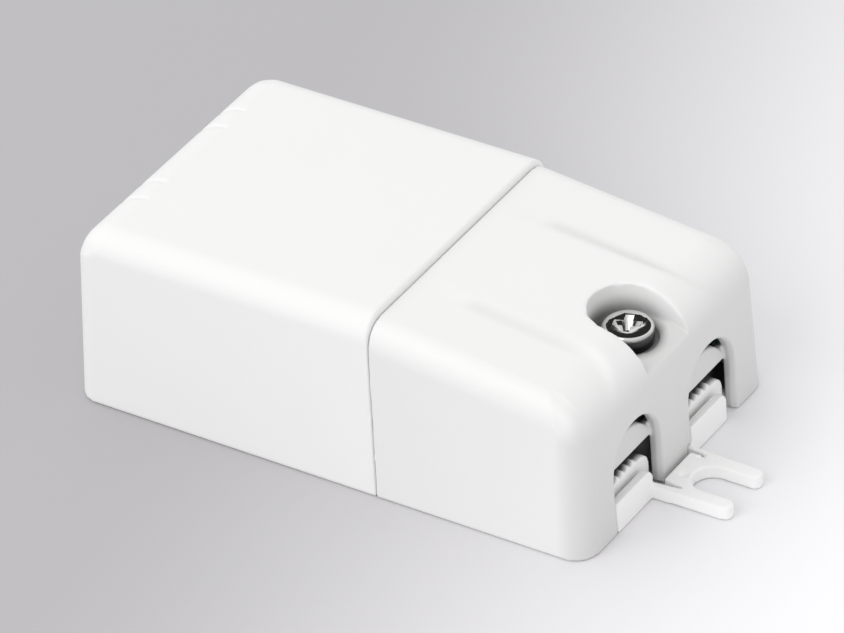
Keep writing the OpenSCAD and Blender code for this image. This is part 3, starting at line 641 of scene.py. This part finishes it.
def turned(obj, degrees):
    # Turns a piece about the screw's axis
    only(obj)
    bpy.ops.transform.rotate(value=math.radians(degrees), orient_axis="Z",
                             center_override=place(SCREW_X, 0, 0))
    bpy.ops.object.transform_apply(location=True, rotation=True, scale=True)
    return obj


def cross_recess():
    # Two arms with leaning ends, as a driver leaves them
    x, low = SCREW_X, SEAT_Z + 0.7
    arm = slanted("arm", (x - 2.0, -0.55, low), (x + 2.0, 0.55, SEAT_Z + 3), {
        (0, 0, 0): (x - 0.7, -0.3, low), (0, 1, 0): (x - 0.7, 0.3, low),
        (1, 0, 0): (x + 0.7, -0.3, low), (1, 1, 0): (x + 0.7, 0.3, low)})
    cross = turned(twin(arm, "cross"), 90)
    combine(cross, arm, "UNION")
    return turned(cross, -20)


def make_screw():
    head_top, shank_end = SEAT_Z + HEAD_H, SEAT_Z - SHANK_L
    head = rod("cover_screw_body", HEAD_R, (SCREW_X, 0, SEAT_Z), (SCREW_X, 0, head_top), 96)
    round_edges(head, level(head_top), 0.65, 8)
    round_edges(head, level(SEAT_Z), 0.12, 3)
    shank = rod("shank", SHANK_R, (SCREW_X, 0, shank_end), (SCREW_X, 0, SEAT_Z + 0.4), 48)
    round_edges(shank, level(shank_end), 0.5, 3)
    combine(head, shank, "UNION")
    combine(head, cross_recess())
    with_modifier(head, "BEVEL", width=0.00006, segments=2, limit_method="ANGLE",
                  angle_limit=math.radians(30))
    bpy.ops.object.shade_smooth_by_angle(angle=math.radians(35))
    return head


# Materials

def node(tree, kind, x, y, **values):
    made = tree.nodes.new(kind)
    made.location = (x, y)
    for key, value in values.items():
        setattr(made, key, value)
    return made


def fill(made, **values):
    # Sets sockets by name, with an underscore for each space
    for key, value in values.items():
        made.inputs[key.replace("_", " ")].default_value = value


def surface_group():
    # Slow change of tone, patches of gloss and fine grain, all on Object coordinates
    tree = bpy.data.node_groups.new("moulded_surface", "ShaderNodeTree")
    face = tree.interface
    for name, kind, value in (("Light", "NodeSocketColor", (1, 1, 1, 1)),
                              ("Dark", "NodeSocketColor", (0.9, 0.9, 0.9, 1)),
                              ("Smooth", "NodeSocketFloat", 0.3),
                              ("Rough", "NodeSocketFloat", 0.5),
                              ("Tone Scale", "NodeSocketFloat", 60.0),
                              ("Grain Scale", "NodeSocketFloat", 3000.0),
                              ("Stretch", "NodeSocketVector", (1, 1, 1))):
        socket = face.new_socket(name, in_out="INPUT", socket_type=kind)
        socket.default_value = value
    for name, kind in (("Color", "NodeSocketColor"), ("Roughness", "NodeSocketFloat"),
                       ("Height", "NodeSocketFloat")):
        face.new_socket(name, in_out="OUTPUT", socket_type=kind)
    inputs = node(tree, "NodeGroupInput", -900, 0)
    outputs = node(tree, "NodeGroupOutput", 500, 0)
    coords = node(tree, "ShaderNodeTexCoord", -900, 300)
    stretch = node(tree, "ShaderNodeVectorMath", -700, 300, operation="MULTIPLY")
    tone = node(tree, "ShaderNodeTexNoise", -450, 400)
    gloss = node(tree, "ShaderNodeTexNoise", -450, 150)
    grain = node(tree, "ShaderNodeTexNoise", -450, -100)
    for texture, detail in ((tone, 3), (gloss, 4), (grain, 1)):
        fill(texture, Detail=detail)
    faster = node(tree, "ShaderNodeMath", -650, 0, operation="MULTIPLY")
    faster.inputs[1].default_value = 9
    color = node(tree, "ShaderNodeMix", 100, 300, data_type="RGBA")
    rough = node(tree, "ShaderNodeMapRange", 100, 50)
    fill(rough, From_Min=0.3, From_Max=0.7)
    link = tree.links.new
    link(coords.outputs["Object"], stretch.inputs[0])
    link(inputs.outputs["Stretch"], stretch.inputs[1])
    for texture in (tone, gloss, grain):
        link(stretch.outputs[0], texture.inputs["Vector"])
    link(inputs.outputs["Tone Scale"], tone.inputs["Scale"])
    link(inputs.outputs["Tone Scale"], faster.inputs[0])
    link(faster.outputs[0], gloss.inputs["Scale"])
    link(inputs.outputs["Grain Scale"], grain.inputs["Scale"])
    link(tone.outputs["Fac"], color.inputs["Factor"])
    link(inputs.outputs["Dark"], color.inputs["A"])
    link(inputs.outputs["Light"], color.inputs["B"])
    link(gloss.outputs["Fac"], rough.inputs["Value"])
    link(inputs.outputs["Smooth"], rough.inputs["To Min"])
    link(inputs.outputs["Rough"], rough.inputs["To Max"])
    link(color.outputs["Result"], outputs.inputs["Color"])
    link(rough.outputs["Result"], outputs.inputs["Roughness"])
    link(grain.outputs["Fac"], outputs.inputs["Height"])
    return tree


def painted_shade_group():
    # Masks of painted shade on Object coordinates: the first paints the shade of the unlit
    # wiring space behind the entries and of the deep ring round the cover screw, the second
    # paints a dark reflection on the side of the screw's head, and the third paints the softer
    # shades on the cover
    tree = bpy.data.node_groups.new("depth", "ShaderNodeTree")
    for name in ("Depth", "Head Reflection", "Shade"):
        tree.interface.new_socket(name, in_out="OUTPUT", socket_type="NodeSocketFloat")
    outputs = node(tree, "NodeGroupOutput", 900, 0)
    coords = node(tree, "ShaderNodeTexCoord", -1100, 0)
    split = node(tree, "ShaderNodeSeparateXYZ", -900, 0)
    link = tree.links.new
    link(coords.outputs["Object"], split.inputs[0])
    rows = itertools.count()

    def maths(kind, *values):
        # One step of arithmetic on sockets and numbers
        step = node(tree, "ShaderNodeMath", 300, -180 * next(rows), operation=kind)
        for socket, value in zip(step.inputs, values):
            if isinstance(value, bpy.types.NodeSocket):
                link(value, socket)
            else:
                socket.default_value = value
        return step.outputs[0]

    def both(first, *others):
        for other in others:
            first = maths("MULTIPLY", first, other)
        return first

    def span(source, full, none):
        # 1 at the first size and 0 at the second, in millimetres
        ramp = node(tree, "ShaderNodeMapRange", 0, -180 * next(rows),
                    interpolation_type="SMOOTHSTEP")
        fill(ramp, From_Min=full / 1000, From_Max=none / 1000, To_Min=1, To_Max=0)
        link(source, ramp.inputs["Value"])
        return ramp.outputs["Result"]

    def distance(across, along):
        spot = node(tree, "ShaderNodeCombineXYZ", -500, -180 * next(rows))
        length = node(tree, "ShaderNodeVectorMath", -300, -180 * next(rows), operation="LENGTH")
        link(across, spot.inputs["X"])
        link(along, spot.inputs["Y"])
        link(spot.outputs[0], length.inputs[0])
        return length.outputs["Value"]

    # X counted from the closed end, as the sizes are
    x = maths("ADD", split.outputs["X"], REACH / 2000)
    y, z = split.outputs["Y"], split.outputs["Z"]
    width = maths("ABSOLUTE", y)

    # Painted shade in the wiring space behind the entries and in the ring round the cover screw
    wiring = both(span(x, 63.4, 64.15), span(width, 17.2, 17.6), span(z, 12.2, 12.6),
                  span(z, 0.3, 0.15))
    from_screw = distance(maths("SUBTRACT", x, (SCREW_X - 0.7) / 1000), y)
    ring = both(span(from_screw, 3.3, 5.2), span(z, 15.8, 18.8))
    link(maths("MAXIMUM", wiring, ring), outputs.inputs["Depth"])
    # Painted dark reflection on the side of the screw's head
    link(both(span(from_screw, 2.95, 2.55), span(z, 17.0, 17.5)), outputs.inputs["Head Reflection"])

    # Of each arch only the wall on the +Y side stands in the shade
    aisle = maths("SUBTRACT", width, ENTRY_Y / 1000)
    rise = maths("MAXIMUM", maths("SUBTRACT", z, ENTRY_Z / 1000), 0)
    from_arch = distance(aisle, rise)
    arch_wall = both(span(from_arch, 4.66, 4.6), span(from_arch, 4.9, 5.0),
                     span(x, 64.8, 65.45), span(maths("MULTIPLY", y, aisle), 0.01, -0.01))
    band_foot = both(span(width, FOOT_Y, FOOT_Y - 1.5), span(width, FOOT_Y, FOOT_Y + 1.5),
                     span(x, 47.0, 44.5), span(x, 57.0, 62.5), span(z, 17.5, 16.5))
    cable_end = both(span(x, 64.6, 60.5), span(z, 14.0, 19.0))
    long_sides = span(width, 18.4, 17.0)
    # Painted shade on the arch walls, the foot of the middle band, the cable end and the long
    # sides
    shade = maths("MULTIPLY", arch_wall, 0.35)
    for mask, share in ((band_foot, 0.09), (cable_end, 0.2), (long_sides, 0.07)):
        shade = maths("MAXIMUM", shade, maths("MULTIPLY", mask, share))
    link(shade, outputs.inputs["Shade"])
    return tree


SURFACE = surface_group()
DEPTH = painted_shade_group()


def finish(name, light, dark, gloss, tone=60, grain=3000, stretch=(1, 1, 1), bump=0.00002,
           strength=0.25, metallic=0.0, coat=0.0, specular=0.5):
    material = bpy.data.materials.new(name)
    material.use_nodes = True
    tree = material.node_tree
    shader = tree.nodes["Principled BSDF"]
    fill(shader, Metallic=metallic, Coat_Weight=coat, Specular_IOR_Level=specular)
    group = node(tree, "ShaderNodeGroup", -500, 200, node_tree=SURFACE)
    fill(group, Light=(*light, 1), Dark=(*dark, 1), Smooth=gloss[0], Rough=gloss[1],
         Tone_Scale=tone, Grain_Scale=grain, Stretch=stretch)
    height = node(tree, "ShaderNodeBump", -250, -100)
    fill(height, Distance=bump, Strength=strength)
    tree.links.new(group.outputs["Color"], shader.inputs["Base Color"])
    tree.links.new(group.outputs["Roughness"], shader.inputs["Roughness"])
    tree.links.new(group.outputs["Height"], height.inputs["Height"])
    tree.links.new(height.outputs["Normal"], shader.inputs["Normal"])
    return material


# The two tones of each finish, its smoothest and roughest gloss, and what else sets it apart
WHITE = dict(light=(0.9, 0.9, 0.895), dark=(0.885, 0.885, 0.88), gloss=(0.52, 0.6), specular=0.2)
RECIPES = {
    "housing_plastic": WHITE,
    "cover_plastic": WHITE,
    # The base's own white, made lighter than the housing's as painted light on its lips and fork
    "base_plastic": dict(WHITE, light=(0.97, 0.97, 0.965), dark=(0.95, 0.95, 0.945)),
    "plated_screw": dict(light=(0.86, 0.85, 0.83), dark=(0.7, 0.7, 0.69), gloss=(0.05, 0.12),
                         tone=300, grain=6000, strength=0.1, metallic=1.0),
    "board_laminate": dict(light=(0.06, 0.25, 0.11), dark=(0.03, 0.15, 0.06), gloss=(0.2, 0.4),
                           tone=200, grain=1500, coat=0.3),
    "small_steel": dict(light=(0.62, 0.62, 0.63), dark=(0.45, 0.45, 0.46), gloss=(0.2, 0.4),
                        tone=300, grain=4000, metallic=1.0),
    "terminal_plastic": dict(light=(0.11, 0.13, 0.15), dark=(0.08, 0.1, 0.12),
                             gloss=(0.4, 0.55), tone=100),
    "terminal_metal": dict(light=(0.65, 0.61, 0.5), dark=(0.48, 0.45, 0.36), gloss=(0.2, 0.4),
                           tone=300, grain=4000, metallic=1.0),
    "spreader_metal": dict(light=(0.63, 0.64, 0.66), dark=(0.5, 0.51, 0.53), gloss=(0.25, 0.45),
                           tone=80, grain=2500, stretch=(1, 12, 1), metallic=1.0),
    "black_epoxy": dict(light=(0.025, 0.025, 0.027), dark=(0.015, 0.015, 0.016),
                        gloss=(0.4, 0.6), tone=200, grain=5000),
    "can_sleeve": dict(light=(0.035, 0.06, 0.18), dark=(0.025, 0.045, 0.14), gloss=(0.2, 0.35),
                       tone=100, grain=1500),
    "ferrite": dict(light=(0.09, 0.11, 0.1), dark=(0.06, 0.08, 0.07), gloss=(0.5, 0.7),
                    tone=200, grain=3500),
    "enamelled_wire": dict(light=(0.55, 0.22, 0.08), dark=(0.35, 0.12, 0.04), gloss=(0.15, 0.3),
                           tone=150, grain=1200, stretch=(1, 1, 6), strength=0.6, metallic=1.0),
    "yellow_case": dict(light=(0.68, 0.45, 0.07), dark=(0.6, 0.38, 0.05), gloss=(0.2, 0.35),
                        tone=100, grain=2000),
    "blue_disc": dict(light=(0.05, 0.14, 0.45), dark=(0.03, 0.1, 0.35), gloss=(0.3, 0.5),
                      tone=150, grain=1500, strength=0.5),
    "fuse_case": dict(light=(0.28, 0.06, 0.035), dark=(0.2, 0.04, 0.025), gloss=(0.2, 0.35),
                      tone=100, grain=2000),
    "white_package": dict(light=(0.77, 0.77, 0.74), dark=(0.7, 0.7, 0.67), gloss=(0.4, 0.55),
                          tone=150, grain=4000),
    "ceramic": dict(light=(0.55, 0.46, 0.31), dark=(0.42, 0.35, 0.23), gloss=(0.4, 0.6),
                    tone=300, grain=5000),
}
FINISHES = {name: finish(name, **values) for name, values in RECIPES.items()}


def paint_shade(slot, share, mask="Depth"):
    # Paints shade into the colour of a finish, as far as a mask of painted shade reaches
    tree = FINISHES[slot].node_tree
    shader = tree.nodes["Principled BSDF"]
    color = shader.inputs["Base Color"].links[0].from_socket
    depth = node(tree, "ShaderNodeGroup", -500, 500, node_tree=DEPTH)
    amount = node(tree, "ShaderNodeMath", -300, 500, operation="MULTIPLY")
    amount.inputs[1].default_value = share
    shaded = node(tree, "ShaderNodeMix", -150, 350, data_type="RGBA")
    fill(shaded, B=NEAR_BLACK)
    tree.links.new(depth.outputs[mask], amount.inputs[0])
    tree.links.new(amount.outputs[0], shaded.inputs["Factor"])
    tree.links.new(color, shaded.inputs["A"])
    tree.links.new(shaded.outputs["Result"], shader.inputs["Base Color"])


# Painted shade on the cover and in its wiring space and screw ring, painted shade in the base,
# and a painted dark reflection on the screw's head
paint_shade("cover_plastic", 1, "Shade")
paint_shade("cover_plastic", 0.85)
paint_shade("base_plastic", 0.9)
paint_shade("plated_screw", 0.95, "Head Reflection")


def dress(obj, slot):
    obj.data.materials.clear()
    obj.data.materials.append(FINISHES[slot])


# Pieces on the frame

for part in frame["record"]["subparts"]:
    dress(frame["nodes"][part["node"]], part["material_slot"])

for maker, cad_node, slot in ((make_housing, "housing", "housing_plastic"),
                              (make_cover, "terminal_cover", "cover_plastic"),
                              (make_base, "base", "base_plastic"),
                              (make_screw, "cover_screw", "plated_screw")):
    piece = maker()
    dress(piece, slot)
    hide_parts(cad_node)
    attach(piece, "root")


# Camera, light and floor

def camera():
    bpy.ops.object.select_all(action="DESELECT")
    bpy.ops.object.camera_add()
    obj = bpy.context.object
    obj.name = "camera"
    obj.data.sensor_width = 36
    obj.data.lens = CAMERA_LENS
    obj.data.clip_end = 10
    turn = Matrix.Rotation(CAMERA_TURN.length, 3, CAMERA_TURN.normalized()).transposed()
    turn = turn @ Matrix.Diagonal((1, -1, -1))
    obj.matrix_world = Matrix.Translation(CAMERA_SPOT) @ turn.to_4x4()
    bpy.context.scene.camera = obj


def lamp(name, spot, size, power):
    bpy.ops.object.select_all(action="DESELECT")
    bpy.ops.object.light_add(type="AREA", location=spot,
                             rotation=Vector(spot).to_track_quat("Z", "Y").to_euler())
    obj = bpy.context.object
    obj.name = name
    obj.data.shape = "DISK"
    obj.data.size = size
    obj.data.energy = power
    return obj


def floor():
    # Pale floor that is greyer towards the closed end
    bpy.ops.object.select_all(action="DESELECT")
    bpy.ops.mesh.primitive_plane_add(size=4, location=(0, 0, -0.0001))
    obj = settle("floor")
    material = bpy.data.materials.new("studio_floor")
    material.use_nodes = True
    tree = material.node_tree
    shader = tree.nodes["Principled BSDF"]
    fill(shader, Roughness=1.0, Specular_IOR_Level=0.0)
    coords = node(tree, "ShaderNodeTexCoord", -900, 0)
    across = node(tree, "ShaderNodeVectorMath", -700, 0, operation="DOT_PRODUCT")
    across.inputs[1].default_value = (0.97, 0.24, 0)
    spread = node(tree, "ShaderNodeMapRange", -500, 0, interpolation_type="SMOOTHSTEP")
    fill(spread, From_Min=-0.036, From_Max=0.06)
    tone = node(tree, "ShaderNodeMix", -250, 0, data_type="RGBA")
    fill(tone, A=FLOOR_GREY, B=FLOOR_WHITE)
    tree.links.new(coords.outputs["Object"], across.inputs[0])
    tree.links.new(across.outputs["Value"], spread.inputs["Value"])
    tree.links.new(spread.outputs["Result"], tone.inputs["Factor"])
    tree.links.new(tone.outputs["Result"], shader.inputs["Base Color"])
    obj.data.materials.append(material)


def surroundings():
    # White room, dimmer towards the cable end, with a dark panel that only the gloss shows
    world = bpy.data.worlds.new("studio")
    bpy.context.scene.world = world
    world.use_nodes = True
    tree = world.node_tree
    back = tree.nodes["Background"]
    fill(back, Strength=ROOM_STRENGTH)
    coords = node(tree, "ShaderNodeTexCoord", -900, 0)
    towards = node(tree, "ShaderNodeVectorMath", -700, 0, operation="DOT_PRODUCT")
    towards.inputs[1].default_value = (0, 0.45, 0.89)
    panel = node(tree, "ShaderNodeMapRange", -500, 0, interpolation_type="SMOOTHSTEP")
    fill(panel, From_Min=0.74, From_Max=0.8)
    light = node(tree, "ShaderNodeLightPath", -500, 300)
    seen = node(tree, "ShaderNodeMath", -350, 100, operation="MULTIPLY")
    aside = node(tree, "ShaderNodeVectorMath", -700, -300, operation="DOT_PRODUCT")
    aside.inputs[1].default_value = (0.92, -0.38, 0)
    walls = node(tree, "ShaderNodeMapRange", -500, -300)
    fill(walls, From_Min=-1, To_Min=ROOM_TONES[0], To_Max=ROOM_TONES[1])
    tone = node(tree, "ShaderNodeMix", -250, 0, data_type="RGBA")
    fill(tone, B=NEAR_BLACK)
    tree.links.new(coords.outputs["Generated"], aside.inputs[0])
    tree.links.new(aside.outputs["Value"], walls.inputs["Value"])
    tree.links.new(walls.outputs["Result"], tone.inputs["A"])
    tree.links.new(coords.outputs["Generated"], towards.inputs[0])
    tree.links.new(towards.outputs["Value"], panel.inputs["Value"])
    tree.links.new(panel.outputs["Result"], seen.inputs[0])
    tree.links.new(light.outputs["Is Glossy Ray"], seen.inputs[1])
    tree.links.new(seen.outputs[0], tone.inputs["Factor"])
    tree.links.new(tone.outputs["Result"], back.inputs["Color"])


camera()
lamp("key", KEY_SPOT, KEY_SIZE, KEY_WATTS)
floor()
surroundings()
bpy.context.scene.view_settings.view_transform = "Standard"
